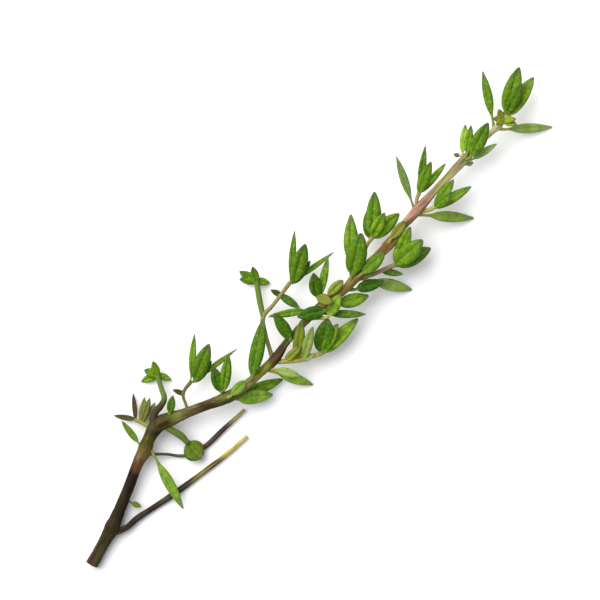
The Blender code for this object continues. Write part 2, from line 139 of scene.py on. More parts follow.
leaves = {
    "leaf_stub": ("fork", leaf((6.0, 0.5, 0.1), -72, 0, 2.0, 1.0, dry=0.35)),
    "whorl_0_left_leaf": (0, leaf((0.2, 1.7, 0.1), 80, 0, 5.1, 1.2, tone=0.40, dry=0.30)),
    "whorl_0_right_leaf": (0, leaf(
        (0.4, -2.0, 0.45), -109, 4, 11.2, 1.9, 14, tone=0.48, felt=0.2, kind="needle")),
    "whorl_1_top_leaf": (1, leaf((0.9, 0.6, 1.2), 32, 24, 3.6, 1.5, tone=0.25)),
    "whorl_2_top_leaf": (2, leaf((0.65, -0.3, 1.6), -3, 14, 3.9, 1.9, tone=0.50, felt=0.2, kind="oval")),
    "whorl_2_right_leaf": (2, leaf((0.9, -1.5, -0.6), -42, 0, 6.8, 2.6, 18, tone=0.60, felt=0.2)),
    "whorl_2_under_leaf": (2, leaf((1.6, -1.4, -1.5), -27, -2, 8.8, 2.2, 14, tone=0.42)),
    "whorl_3_left_leaf": (3, leaf((-5.4, 0.8, 1.2), 31, 14, 11.2, 2.6, 16, tone=0.30)),
    "whorl_3_back_leaf": (3, leaf((4.6, 0.1, 1.3), 75, 18, 6.0, 2.3, tone=0.20, dry=0.1)),
    "whorl_3_pale_leaf": (3, leaf((-1.3, -1.4, 0.3), -62, 0, 4.7, 1.6, 14, tone=0.85, felt=0.5)),
    "whorl_3_right_leaf": (3, leaf(
        (-1.9, -1.35, -0.6), -66, -19, 8.7, 1.9, 16, tone=0.95, felt=0.25, kind="needle")),
    "whorl_4_across_leaf": (4, leaf((-2.4, 1.5, 0.1), 142, 10, 7.1, 1.4, tone=0.40)),
    "whorl_4_top_leaf": (4, leaf(
        (2.0, 0.5, 1.25), -4, 12, 4.1, 1.8, tone=0.60, gold=0.6, felt=0.2, kind="oval")),
    "whorl_4_front_leaf": (4, leaf((-0.7, -2.2, 1.15), 15, 12, 4.8, 2.3, tone=0.65)),
    # its tone of 0 is partly its own dark green and partly painted shade from the leaves above it
    "whorl_4_dark_leaf": (4, leaf((-0.1, -1.1, 1.35), 145, 8, 5.4, 2.5, 14, tone=0.0)),
    "whorl_4_far_right_leaf": (4, leaf((-0.2, -1.9, -0.2), -49, 6, 6.8, 1.5, tone=0.28, felt=0.1)),
    "whorl_4_right_leaf": (4, leaf((2.2, -2.0, -0.2), -32, 0, 6.0, 2.5, 18, tone=0.50)),
    "whorl_5_left_leaf": (5, leaf(
        (-0.3, 1.5, 0.1), 42, 14, 10.4, 2.7, 16, tone=0.50, felt=0.1, kind="needle")),
    "whorl_5_broad_leaf": (5, leaf((-1.1, 0.7, 1.25), 30, 32, 8.9, 3.7, 16, tone=0.35)),
    "whorl_5_top_leaf": (5, leaf((0.5, -0.35, 1.6), -5, 18, 5.9, 2.5, tone=0.40, dry=0.05)),
    "whorl_5_right_leaf": (5, leaf(
        (0.5, -1.9, -0.8), -60, -18, 9.6, 2.2, 20, tone=0.85, felt=0.4, kind="needle")),
    # its tone of 0 is partly its own dark green and partly painted shade from the stem above it
    "whorl_5_under_leaf": (5, leaf((-2.3, -1.4, 0.1), -31, 2, 5.5, 2.2, tone=0.0)),
    "whorl_6_bud": (6, leaf((0.9, 0.4, 1.25), 3, 9, 4.2, 1.8, tone=0.70, gold=0.9, dry=0.25, kind="oval")),
    "whorl_7_left_leaf": (7, leaf(
        (-0.1, 1.3, 0.0), 61, 8, 9.4, 1.5, 16, tone=0.25, felt=0.35, kind="needle")),
    "whorl_7_right_leaf": (7, leaf(
        (-0.3, -1.3, -0.4), -51, -16, 10.6, 2.0, 18, tone=0.60, felt=0.3, kind="needle")),
    "whorl_8_left_leaf": (8, leaf((1.5, 1.0, 0.35), 37, 8, 5.3, 1.5, tone=0.85, felt=0.2)),
    "whorl_8_top_leaf": (8, leaf((2.0, -0.6, 1.35), 16, 28, 7.4, 2.7, 14, tone=0.35)),
    "whorl_8_middle_leaf": (8, leaf((1.8, 0.25, 1.0), 34, 15, 5.5, 1.5, tone=0.48)),
    "whorl_8_right_leaf": (8, leaf((1.9, -1.1, 0.0), -15, 11, 5.3, 1.3, tone=1.00, felt=0.5)),
    "whorl_8_small_leaf": (8, leaf((0.8, 1.0, 0.3), 116, 5, 1.2, 0.8, tone=0.35, dry=0.3)),
    "whorl_8_under_leaf": (8, leaf((0.45, -0.95, -0.7), -30, 0, 1.4, 0.9, tone=0.90, felt=0.8, dry=0.1)),
    "whorl_9_left_leaf": (9, leaf(
        (-0.3, 1.2, -0.1), 54, -2, 9.7, 1.7, 12, tone=0.35, dry=0.1, kind="needle")),
    "whorl_9_right_leaf": (9, leaf(
        (0.05, -1.15, -0.3), -44, -31, 9.9, 1.8, -14, tone=0.75, felt=0.45, kind="needle")),
}

# a twig: its whorl, then points from that whorl, each with a radius
twigs = {
    "lower_twig": ("fork", [
        (2.0, -1.9, -0.2, 0.55), (4.4, -2.2, -0.6, 0.58), (8.0, -3.1, -0.85, 0.52), (12.0, -4.1, -0.9, 0.58),
        (17.5, -5.2, -0.95, 0.48), (23.5, -6.3, -0.95, 0.44), (29.3, -7.0, -0.9, 0.34),
    ]),
    "fine_twig": (0, [
        (0.7, -1.9, -0.6, 0.29), (2.1, -3.5, -1.4, 0.26), (3.7, -5.7, -1.9, 0.29), (5.7, -7.2, -1.95, 0.37),
        (8.2, -7.8, -1.95, 0.46), (12.5, -8.1, -1.9, 0.42), (17.8, -8.6, -1.8, 0.30),
    ]),
}

# a shoot: its whorl, its stalks (points from the whorl, each with a radius), and the leaves
# that sit on them, each with its stalk's number and point
shoots = {
    "withered_shoot": (1, [
        stalk([(-3.6, 2.5, -0.7, 0.38), (-3.8, 3.3, -1.3, 0.38), (-4.2, 4.5, -1.9, 0.36)],
              tone=0.6, dry=0.35),
    ], [
        (0, 2, leaf((0, 0.2, 0), 123, -6, 4.3, 1.0, tone=0.30, dry=0.75)),
        (0, 2, leaf((0.2, 0.1, 0.1), 48, -2, 5.1, 0.9, tone=0.10, dry=0.95)),
        (0, 1, leaf((0.3, 0.4, 0), 34, 4, 4.6, 1.3, tone=0.80, dry=0.45, felt=0.3, gold=0.9)),
        (0, 1, leaf((0.4, 0.1, 0.2), 24, 14, 4.8, 1.3, tone=0.80, dry=0.50, felt=0.3, gold=0.9)),
        (0, 1, leaf((0.5, -0.3, 0), 13, 4, 4.4, 1.2, tone=0.90, dry=0.30, felt=0.6, gold=1.0)),
    ]),
    "whorl_1_left_shoot": (1, [
        stalk([(-0.9, 2.7, 0.1, 0.72), (0.9, 2.75, 0, 0.62), (2.3, 3.2, -0.4, 0.55),
               (3.2, 4.7, -1.2, 0.50), (4.6, 7.0, -1.9, 0.45)], tone=0.15, foot=0.8),
    ], [
        (0, 4, leaf((0.2, -0.1, -0.1), -72, -4, 2.9, 1.3, tone=0.45)),
        (0, 4, leaf((-0.1, 0.2, 0.1), 158, -4, 3.5, 1.6, 8, tone=0.50)),
        (0, 4, leaf((0, 0, 0.25), 110, 10, 3.0, 1.7, tone=0.45)),
        (0, 4, leaf((0, 0, 0.15), 60, 28, 3.3, 1.5, tone=0.45)),
    ]),
    "whorl_1_right_shoot": (1, [
        stalk([(-1, -2.05, -0.3, 0.60), (-0.7, -3.7, -0.8, 0.67), (-0.8, -5.5, -1.3, 0.50)], tone=0.2),
    ], [
        (0, 2, leaf((0, 0, 0), -98, 8, 4.1, 3.9, tone=0.22, gold=0.40, kind="oval")),
    ]),
    "whorl_2_left_shoot": (2, [
        stalk([(-6.2, 4.6, -0.8, 0.26), (-5, 6.4, -0.8, 0.3), (-2.2, 6.9, -0.8, 0.4)], tone=0.5, dry=0.55),
    ], [
        (0, 1, leaf((0, 0, 0), 112, 4, 2.4, 1.0, tone=0.10, dry=0.60)),
        (0, 2, leaf((0, 0.2, 0), 37, 20, 9.2, 1.3, tone=0.50, felt=0.1, kind="needle")),
        (0, 2, leaf((0.5, -0.4, 0.1), 20, 38, 8.7, 2.9, 16, tone=0.35)),
        (0, 2, leaf((0.2, -0.3, 0), -11, 6, 10.3, 1.0, 8, tone=0.45, kind="needle")),
        (0, 2, leaf((0.2, -0.4, 0.1), 2, 24, 5.6, 1.9, tone=0.15)),
    ]),
    "whorl_2_left_pair": (2, [
        stalk([(0.05, 1.25, 0.5, 0.36), (0.25, 1.65, 1.15, 0.42)], tone=0.3),
    ], [
        (0, 1, leaf((-0.2, 0.1, 0), 60, 14, 5.0, 2.2, tone=0.10)),
        (0, 1, leaf((0.3, -0.3, 0.1), 34, 22, 7.2, 2.0, tone=0.40)),
    ]),
    "whorl_3_left_shoot": (3, [
        stalk([(0.6, 1.7, 0, 0.4), (2.4, 4.6, -0.7, 0.4), (4.3, 6.8, -1.2, 0.46),
               (6.8, 6.9, -1.3, 0.36), (9.4, 7.1, -1.4, 0.38), (12.3, 7.4, -1.4, 0.42)],
              tone=0.5, dry=0.25, flush=0.5),
        stalk([(4.3, 6.8, -1.2, 0.47), (6, 9.2, -2.3, 0.55), (8.3, 12.1, -3.4, 0.47)], tone=0.15),
    ], [
        (0, 4, leaf((0, 0, 0), 105, 10, 2.4, 1.1, tone=0.10, dry=0.60)),
        (0, 4, leaf((0, 0, 0), -82, 6, 4.6, 1.5, tone=0.15, felt=0.15)),
        (0, 5, leaf((0, 0, 0), 37, 20, 10.2, 1.3, tone=0.40, kind="needle")),
        (0, 5, leaf((0.6, -0.5, 0.1), 26, 38, 8.7, 2.9, 16, tone=0.35)),
        (0, 5, leaf((0.2, -0.3, 0), -12, 6, 9.9, 1.0, 8, tone=0.45, kind="needle")),
        (0, 5, leaf((0.2, -0.4, 0.1), 3, 24, 5.8, 1.9, tone=0.15)),
        (1, 2, leaf((0.2, -0.1, -0.1), -60, -4, 2.7, 1.4, tone=0.45)),
        (1, 2, leaf((0, 0.2, 0.1), 128, -4, 3.4, 1.7, 8, tone=0.35)),
        (1, 2, leaf((0, 0, 0.25), 102, 12, 4.0, 1.7, tone=0.40)),
        (1, 2, leaf((0, 0, 0.15), 57, 30, 3.4, 1.5, tone=0.40)),
    ]),
    "whorl_3_right_shoot": (3, [
        stalk([(0.8, -1.5, -0.3, 0.46), (3, -3.5, -0.7, 0.46), (6.6, -5.6, -1, 0.46)], tone=0.9),
    ], [
        (0, 1, leaf((-0.5, 0.3, 0.1), 36, 28, 8.6, 2.1, tone=0.45, gold=0.6)),
        (0, 1, leaf((0.5, -0.3, 0.1), 26, 36, 7.6, 1.9, tone=1.00, gold=0.5, felt=0.4)),
        (0, 0, leaf((0.3, -0.2, 0.2), -4, 24, 4.6, 1.6, tone=0.60, gold=0.8)),
        (0, 1, leaf((0.4, -0.5, 0), -18, 18, 2.8, 1.2, tone=1.00, gold=0.4, felt=0.7)),
        (0, 2, leaf((0, 0, 0), 32, 26, 7.2, 3.7, 14, tone=0.25)),
        (0, 2, leaf((0.2, -0.1, 0), -3, 4, 9.4, 2.5, tone=0.70)),
        (0, 2, leaf((0.1, 0, 0.1), 14, 20, 6.6, 2.3, tone=0.50)),
    ]),
    "whorl_4_left_pair": (4, [
        stalk([(0.6, 1.3, 0.5, 0.36), (0.85, 1.75, 1.2, 0.42)], tone=0.3),
    ], [
        (0, 1, leaf((-0.1, 0, 0.2), 52, 26, 5.0, 2.4, tone=0.22)),
        (0, 1, leaf((0.3, -0.2, 0), 31, 14, 7.6, 1.5, tone=0.40)),
        (0, 1, leaf((0.0, -0.1, 0.3), -72, 26, 3.4, 2.0, tone=0.35, gold=0.8)),
    ]),
    "whorl_5_left_shoot": (5, [
        stalk([(2.7, 1.3, -0.2, 0.36), (5.2, 2.5, -0.5, 0.34), (6.9, 2.7, -0.6, 0.4)], tone=0.7, flush=0.5),
    ], [
        (0, 2, leaf((0, 0, 0), 40, 16, 8.8, 2.8, tone=0.40)),
        (0, 2, leaf((-0.4, 0.3, 0), 48, -2, 5.4, 2.2, tone=0.25)),
        (0, 2, leaf((0, 0, 0), -6, 14, 6.9, 2.8, tone=0.50)),
        (0, 2, leaf((0, 0, 0), 16, 40, 6.3, 2.3, tone=0.65)),
    ]),
    "whorl_5_right_shoot": (5, [
        stalk([(1.3, -1.6, -0.3, 0.42), (3.4, -2.6, -0.6, 0.42), (6, -3.8, -0.7, 0.46)],
              tone=0.6, flush=0.9),
    ], [
        (0, 1, leaf((0.1, -0.2, -0.2), -56, 8, 4.2, 1.3, tone=0.20, felt=0.15)),
        (0, 2, leaf((0, 0, 0), 21, 22, 8.1, 2.5, tone=0.60)),
        (0, 2, leaf((0.1, 0, 0.1), -6, 38, 8.0, 3.4, 14, tone=0.45)),
        (0, 2, leaf((0.1, -0.2, -0.1), -21, 6, 7.3, 3.0, tone=0.35)),
    ]),
    "whorl_7_left_shoot": (7, [
        stalk([(1.1, 1.4, 0.3, 0.34), (2.3, 1.9, 0.4, 0.38)], tone=0.6, flush=0.8),
    ], [
        (0, 1, leaf((0, 0, 0), 35, 16, 9.2, 1.4, tone=0.30, kind="needle")),
        (0, 1, leaf((0, 0, 0.1), 22, 38, 7.5, 2.1, tone=0.45)),
        (0, 1, leaf((0.1, -0.1, 0), 1, 10, 7.5, 1.4, tone=0.55)),
    ]),
    "whorl_7_right_shoot": (7, [
        stalk([(1, -1.45, -0.2, 0.38), (2.4, -2, -0.1, 0.42)], tone=0.9),
    ], [
        (0, 1, leaf((0, 0, 0), 8, 22, 6.6, 2.0, tone=0.50)),
        (0, 1, leaf((0, -0.2, 0), -17, 12, 7.9, 1.9, tone=0.50)),
        (0, 1, leaf((0, 0, 0), -8, 50, 5.4, 2.0, tone=0.40)),
    ]),
    "growing_tip": (9, [
        stalk([(1.2, 0.1, 0.1, 0.46), (2.3, 0.15, 0.15, 0.45), (3.2, 0.2, 0.3, 0.35)], tone=0.9),
    ], [
        (0, 1, leaf((0.2, 0.5, 0.2), 27, 26, 9.4, 3.1, 16, tone=0.42)),
        (0, 1, leaf((0, 0, 0), 8, 10, 8.9, 2.9, 12, tone=0.72)),
        (0, 1, leaf((0.2, 0.2, 0.35), 17, 36, 7.4, 2.1, 12, tone=0.30)),
        (0, 0, leaf((0.0, 0.2, 0.15), 62, 32, 2.5, 1.4, tone=0.80, gold=0.8)),
        (0, 0, leaf((0, -0.1, 0.1), -66, 20, 3.0, 1.4, tone=1.00, gold=0.6)),
        (0, 0, leaf((0, 0, 0.2), -43, 30, 2.9, 1.4, tone=0.80, gold=0.7)),
        (0, 0, leaf((-0.1, 0, 0.5), 166, 28, 1.9, 1.2, tone=0.80, gold=0.8)),
        (0, 0, leaf((0.1, 0.1, 0.5), 130, 24, 2.4, 1.2, tone=0.60, gold=0.9)),
    ]),
}


def place(*parts):
    # the sum of some points, in millimetres
    return sum((Vector(part[:3]) for part in parts), Vector())


def lengthOf(points):
    return sum((place(end) - place(start)).length for start, end in zip(points, points[1:]))


def hexColour(code):
    # an sRGB colour as Blender's linear one
    parts = [int(code[i : i + 2], 16) / 255 for i in (1, 3, 5)]
    return (*[p / 12.92 if p <= 0.04045 else ((p + 0.055) / 1.055) ** 2.4 for p in parts], 1)


def addNode(tree, kind, settings=None, inputs=None):
    # one node, its settings, and its inputs as values or as sockets to link from
    made = tree.nodes.new("ShaderNode" + kind)
    for name, value in (settings or {}).items():
        setattr(made, name, value)
    for name, value in (inputs or {}).items():
        if isinstance(value, bpy.types.NodeSocket):
            tree.links.new(value, made.inputs[name])
        else:
            made.inputs[name].default_value = value
    return made


def newMaterial(name, settings):
    material = bpy.data.materials.new(name)
    material.use_nodes = True
    shader = material.node_tree.nodes["Principled BSDF"]
    for key, value in settings.items():
        shader.inputs[key].default_value = value
    return material, material.node_tree, shader


def relief(tree, shader, layers):
    # bumps one over the other: each is a height in millimetres and a pattern
    normal = None
    for height, pattern in layers:
        inputs = {"Height": pattern, "Distance": height * mm, "Strength": 1.0}
        if normal is not None:
            inputs["Normal"] = normal
        normal = addNode(tree, "Bump", None, inputs).outputs[0]
    tree.links.new(normal, shader.inputs["Normal"])


def layered(tree, colour, layers):
    # tints a colour layer by layer: each is a value, where it starts and is full, its strength, and a colour.
    # a Mix node has its two colours at inputs 6 and 7, and the mixed one at output 2
    for value, start, full, strength, tint in layers:
        amount = addNode(tree, "MapRange", {"interpolation_type": "SMOOTHSTEP"}, {
            0: value, 1: start, 2: full, 4: strength}).outputs[0]
        over = hexColour(tint) if isinstance(tint, str) else tint
        colour = addNode(tree, "Mix", {"data_type": "RGBA"}, {0: amount, 6: colour, 7: over}).outputs[2]
    return colour


# the dark margin green marks the oil glands, and also paints shade at the rolled margin
leafGreens = {
    "deep": "#254c00", "fresh": "#88ac20", "mottle": "#376604", "vein": "#9ab04c", "glandsAndMarginShade": "#304e0a",
    "tip": "#4a5232", "stalk": "#80824a", "dry": "#43361c", "felt": "#8f9c68", "gold": "#7a7426",
    "fleck": "#88aa2c", "under": "#98a67c", "underVein": "#b4bd94",
}

leafGrain = {
    "patches": 1.4,
    "specks": 0.6,
    "glands": 0.5,  # from one oil gland to the next: the glands are drawn larger than life, so that they show
    "felt": 0.3,  # tufts of short hairs, drawn about three times as coarse as they are, so that they show
}


def leafPlaces(tree):
    # where a point is on its leaf: from base to tip, from rib to margin (0 to 0.5), and on the object
    places = addNode(tree, "TexCoord").outputs
    split = addNode(tree, "SeparateXYZ", None, {0: places["UV"]}).outputs
    fromRib = addNode(tree, "Math", {"operation": "SUBTRACT"}, {0: split[1], 1: 0.5}).outputs[0]
    side = addNode(tree, "Math", {"operation": "ABSOLUTE"}, {0: fromRib}).outputs[0]
    return split[0], side, places["Object"]


def makeLeafTop():
    # thyme leaf, upper side: satin, with a pale line along the rib, painted shade darkening the rolled
    # margin, and darker at the tip
    material, tree, shader = newMaterial("thymeLeafTop", {
        "Roughness": 0.50, "IOR": 1.42, "Specular IOR Level": 0.14,
    })
    along, side, here = leafPlaces(tree)
    look = {name: addNode(tree, "Attribute", {"attribute_name": name}).outputs["Fac"]
            for name in ("tone", "dry", "felt", "gold")}
    patches, specks = [
        addNode(tree, "TexNoise", None, {
            "Vector": here, "Scale": 1 / (leafGrain[name] * mm), "Detail": 2.5}).outputs[0]
        for name in ("patches", "specks")]
    glands = addNode(tree, "TexVoronoi", None, {
        "Vector": here, "Scale": 1 / (leafGrain["glands"] * mm)}).outputs["Distance"]
    colour = layered(tree, hexColour(leafGreens["deep"]), [
        (look["tone"], 0.0, 1.0, 1.0, leafGreens["fresh"]),
        (patches, 0.42, 0.64, 0.65, leafGreens["mottle"]),
        (specks, 0.44, 0.76, 0.50, leafGreens["fleck"]),
        (side, 0.06, 0.00, 0.30, leafGreens["vein"]),
        # painted shade in part: a low tone darkens a leaf that lies in shade, and this layer dulls its
        # pattern as shade would
        (look["tone"], 0.50, 0.00, 0.70, leafGreens["deep"]),  # a dark leaf shows less of its pattern
        (look["gold"], 0.0, 1.0, 0.80, leafGreens["gold"]),
        # painted shade: the rolled margin is darkened as if it turned away from the light
        (side, 0.34, 0.50, 0.60, leafGreens["glandsAndMarginShade"]),
        (glands, 0.16, 0.05, 0.35, leafGreens["glandsAndMarginShade"]),
        (along, 0.70, 1.00, 0.70, leafGreens["tip"]),
        (along, 0.14, 0.02, 0.60, leafGreens["stalk"]),
        (look["felt"], 0.0, 1.0, 1.0, leafGreens["felt"]),
        (look["dry"], 0.0, 1.0, 1.0, leafGreens["dry"]),
    ])
    tree.links.new(colour, shader.inputs["Base Color"])
    relief(tree, shader, [(0.10, glands), (0.06, specks)])
    return material


def makeLeafUnder():
    # thyme leaf, lower side: matt, pale and felted with short hairs
    material, tree, shader = newMaterial("thymeLeafUnder", {
        "Roughness": 0.75, "IOR": 1.42, "Specular IOR Level": 0.15,
        "Sheen Weight": 0.1, "Sheen Roughness": 0.6,
    })
    along, side, here = leafPlaces(tree)
    look = {name: addNode(tree, "Attribute", {"attribute_name": name}).outputs["Fac"]
            for name in ("tone", "dry")}
    felt = addNode(tree, "TexNoise", None, {
        "Vector": here, "Scale": 1 / (leafGrain["felt"] * mm), "Detail": 3.0}).outputs[0]
    colour = layered(tree, hexColour(leafGreens["under"]), [
        (look["tone"], 0.0, 1.0, 0.3, leafGreens["fresh"]),
        (felt, 0.30, 0.70, 0.5, leafGreens["mottle"]),
        (side, 0.09, 0.00, 0.7, leafGreens["underVein"]),
        (along, 0.20, 0.05, 0.8, leafGreens["stalk"]),
        (look["dry"], 0.0, 1.0, 0.9, leafGreens["dry"]),
    ])
    tree.links.new(colour, shader.inputs["Base Color"])
    relief(tree, shader, [(0.08, felt)])
    return material


def grainPlaces(tree, length, stretch):
    # where a point is on a tube: along it from 0 to 1, and a place for grain that is drawn out along it
    uv = addNode(tree, "TexCoord").outputs["UV"]
    split = addNode(tree, "SeparateXYZ", None, {0: uv}).outputs
    turn = addNode(tree, "Math", {"operation": "MULTIPLY"}, {0: split[1], 1: 2 * math.pi}).outputs[0]
    inputs = {0: addNode(tree, "Math", {"operation": "MULTIPLY"}, {
        0: split[0], 1: length * mm / stretch}).outputs[0]}
    for axis, operation in ((1, "COSINE"), (2, "SINE")):
        wave = addNode(tree, "Math", {"operation": operation}, {0: turn}).outputs[0]
        inputs[axis] = addNode(tree, "Math", {"operation": "MULTIPLY"}, {0: wave, 1: mm}).outputs[0]
    return split[0], addNode(tree, "CombineXYZ", None, inputs).outputs[0]


barkGrain = {
    "fibres": 0.30,  # width of the fibres, drawn about three times as coarse as they are, so that they show
    "streaks": 0.80,  # width of the streaks of colour
    "oldUntil": 0.35,  # the old part of a tube ends at this share of its length,
    "youngFrom": 0.75,  # and the young part starts at this one
}


def makeBark(name, length, stretches, settings):
    # bark or skin of a stem: fine fibres along it, and a colour that changes from stretch to stretch.
    # a stretch starts at a point of the tube, and has a colour and the colour of its streaks
    material, tree, shader = newMaterial(name, {"IOR": 1.45, "Specular IOR Level": settings["shine"]})
    along, grain = grainPlaces(tree, length, settings["stretch"])
    old, young = settings["roughness"]  # the bark is dull where it is old and woody
    roughness = addNode(tree, "MapRange", None, {
        0: along, 1: barkGrain["oldUntil"], 2: barkGrain["youngFrom"], 3: old, 4: young}).outputs[0]
    tree.links.new(roughness, shader.inputs["Roughness"])
    fibres, streaks = [
        addNode(tree, "TexNoise", None, {
            "Vector": grain, "Scale": 1 / (barkGrain[kind] * mm), "Detail": 3.0}).outputs[0]
        for kind in ("fibres", "streaks")]
    wobble = addNode(tree, "Math", {"operation": "MULTIPLY_ADD"}, {
        0: streaks, 1: settings["wobble"], 2: along}).outputs[0]
    (_, base, streak), *others = stretches
    shift = settings["wobble"] / 2  # the streaks average a half
    layers = [[], []]
    for start, *codes in others:
        edges = [(start + side * settings["blend"]) / settings["points"] + shift for side in (-1, 1)]
        for layer, code in zip(layers, codes):
            layer.append((wobble, *edges, 1.0, code))
    plain, streaked = [layered(tree, hexColour(code), layer) for code, layer in zip((base, streak), layers)]
    colour = layered(tree, plain, [
        (streaks, 0.42, 0.62, 1.0, streaked),
        (fibres, 0.48, 0.36, 0.5, settings["dark"]),
    ])
    tree.links.new(colour, shader.inputs["Base Color"])
    relief(tree, shader, [(0.14, fibres), (0.10, streaks)])
    return material


stalkColours = {
    "green": "#47661a", "yellow": "#a5a052", "speck": "#6f6436", "flush": "#8f7a5a", "foot": "#33261a",
    "dry": "#41342a", "speckSize": 0.8,
}


def makeStalkSkin():
    # skin of a young shoot: green to yellow, flushed pinkish brown or dark at the foot in places
    material, tree, shader = newMaterial("youngStalkSkin", {
        "Roughness": 0.58, "IOR": 1.45, "Specular IOR Level": 0.15,
    })
    places = addNode(tree, "TexCoord").outputs
    along = addNode(tree, "SeparateXYZ", None, {0: places["UV"]}).outputs[0]
    look = {name: addNode(tree, "Attribute", {"attribute_name": name}).outputs["Fac"]
            for name in ("tone", "dry", "flush", "foot")}
    specks = addNode(tree, "TexNoise", None, {
        "Vector": places["Object"], "Scale": 1 / (stalkColours["speckSize"] * mm), "Detail": 3.0}).outputs[0]
    # the darkness of the foot fades out along the stalk
    fromFoot = addNode(tree, "Math", {"operation": "SUBTRACT"}, {0: look["foot"], 1: along}).outputs[0]
    colour = layered(tree, hexColour(stalkColours["green"]), [
        (look["tone"], 0.0, 1.0, 1.0, stalkColours["yellow"]),
        (specks, 0.45, 0.65, 0.45, stalkColours["speck"]),
        (look["flush"], 0.0, 1.0, 0.8, stalkColours["flush"]),
        (fromFoot, 0.10, 0.45, 0.9, stalkColours["foot"]),
        (look["dry"], 0.0, 1.0, 1.0, stalkColours["dry"]),
    ])
    tree.links.new(colour, shader.inputs["Base Color"])
    relief(tree, shader, [(0.08, specks)])
    return material


def makeCutWood():
    # a fresh cut across a woody stem: pale, rough wood round a darker pith
    cut = {"grain": 0.25, "dark": "#a08a5c", "light": "#c9b583"}
    material, tree, shader = newMaterial("cutWood", {"Roughness": 0.7, "IOR": 1.45})
    here = addNode(tree, "TexCoord").outputs["Object"]
    grain = addNode(tree, "TexNoise", None, {"Vector": here, "Scale": 1 / (cut["grain"] * mm)}).outputs[0]
    colour = layered(tree, hexColour(cut["dark"]), [(grain, 0.35, 0.65, 1.0, cut["light"])])
    tree.links.new(colour, shader.inputs["Base Color"])
    relief(tree, shader, [(0.06, grain)])
    return material


def makePith():
    # pith: soft, spongy and darker than the wood
    cut = {"pores": 0.2, "dark": "#6e5733", "light": "#a58a58"}
    material, tree, shader = newMaterial("pith", {"Roughness": 0.85, "IOR": 1.4})
    here = addNode(tree, "TexCoord").outputs["Object"]
    pores = addNode(tree, "TexNoise", None, {"Vector": here, "Scale": 1 / (cut["pores"] * mm)}).outputs[0]
    colour = layered(tree, hexColour(cut["dark"]), [(pores, 0.3, 0.7, 1.0, cut["light"])])
    tree.links.new(colour, shader.inputs["Base Color"])
    return material


def activate(piece):
    bpy.ops.object.select_all(action="DESELECT")
    piece.select_set(True)
    bpy.context.view_layer.objects.active = piece


def pick(cage, kind, test):
    # in edit mode: selects the vertices or faces that pass the test, and no others
    bpy.ops.mesh.select_all(action="DESELECT")
    for item in getattr(cage, kind):
        item.select_set(test(item))
    cage.select_flush_mode()


def applyModifier(piece, name, kind, **settings):
    modifier = piece.modifiers.new(name, kind)
    for key, value in settings.items():
        setattr(modifier, key, value)
    bpy.ops.object.modifier_apply(modifier=name)


def joined(pieces, name):
    activate(pieces[0])
    for piece in pieces[1:]:
        piece.select_set(True)
    if len(pieces) > 1:
        bpy.ops.object.join()
    made = bpy.context.view_layer.objects.active
    made.name = name
    made.data.name = name
    return made


def paint(piece, look):
    # the materials read these: each is from 0 to 1
    for name, value in look.items():
        layer = piece.data.attributes.new(name, "FLOAT", "POINT")
        layer.data.foreach_set("value", [value] * len(piece.data.vertices))


def outline(kind, share):
    # half the leaf's width at a share of its length, as a share of its full width
    if share <= kind["stalk"]:
        return leafCut["narrowest"] / 2
    blade = (share - kind["stalk"]) / (1 - kind["stalk"])
    fullness = kind["lower"] if blade < kind["widest"] else kind["upper"]
    wave = math.sin(math.pi * blade ** (math.log(0.5) / math.log(kind["widest"])))
    return max(leafCut["narrowest"] * (1 - leafCut["taper"] * blade), wave**fullness) / 2


def makeLeafSheet(name, kind):
    # one sheet for each kind of leaf, a unit long and wide, that every leaf is copied from
    along, across = leafCut["along"], leafCut["across"]
    bpy.ops.mesh.primitive_grid_add(x_subdivisions=along, y_subdivisions=across, size=1, location=(0.5, 0, 0))
    bpy.ops.object.transform_apply(location=True)
    sheet = bpy.context.object
    sheet.name = name
    bpy.ops.object.mode_set(mode="EDIT")
    cage = bmesh.from_edit_mesh(sheet.data)
    for column in range(across + 1):  # the gull-wing section: a groove along the rib, crowned halves
        start = column / across - 0.5
        sideways, up = leafCut["rib"][abs(column - across // 2)]
        shift = math.copysign(sideways / 2, start) - start if start else 0.0
        pick(cage, "verts", lambda vertex: abs(vertex.co.y - start) < leafCut["nearby"] / across)
        bpy.ops.transform.translate(value=(0, shift, up / 2))
    inwards, up = leafCut["hem"]
    for edge in (-0.5, 0.5):  # the margin rolls under
        pick(cage, "verts", lambda vertex: abs(vertex.co.y - edge) < leafCut["nearby"] / across)
        move = {"value": (0, math.copysign(inwards / 2, -edge), up / 2)}
        bpy.ops.mesh.extrude_region_move(TRANSFORM_OT_translate=move)
    for row in range(along + 1):
        share = row / along
        width = 2 * outline(kind, share)
        pick(cage, "verts", lambda vertex: abs(vertex.co.x - share) < leafCut["nearby"] / along)
        bpy.ops.transform.resize(value=(1, width, width), center_override=(share, 0, 0))
    bpy.ops.object.mode_set(mode="OBJECT")
    sheet.rotation_euler.x = -math.pi / 2  # it stands on its edge, because the bend works in that plane
    bpy.ops.object.transform_apply(rotation=True)
    sheet.data.materials.append(materials["leafTop"])
    sheet.data.materials.append(materials["leafUnder"])
    return sheet


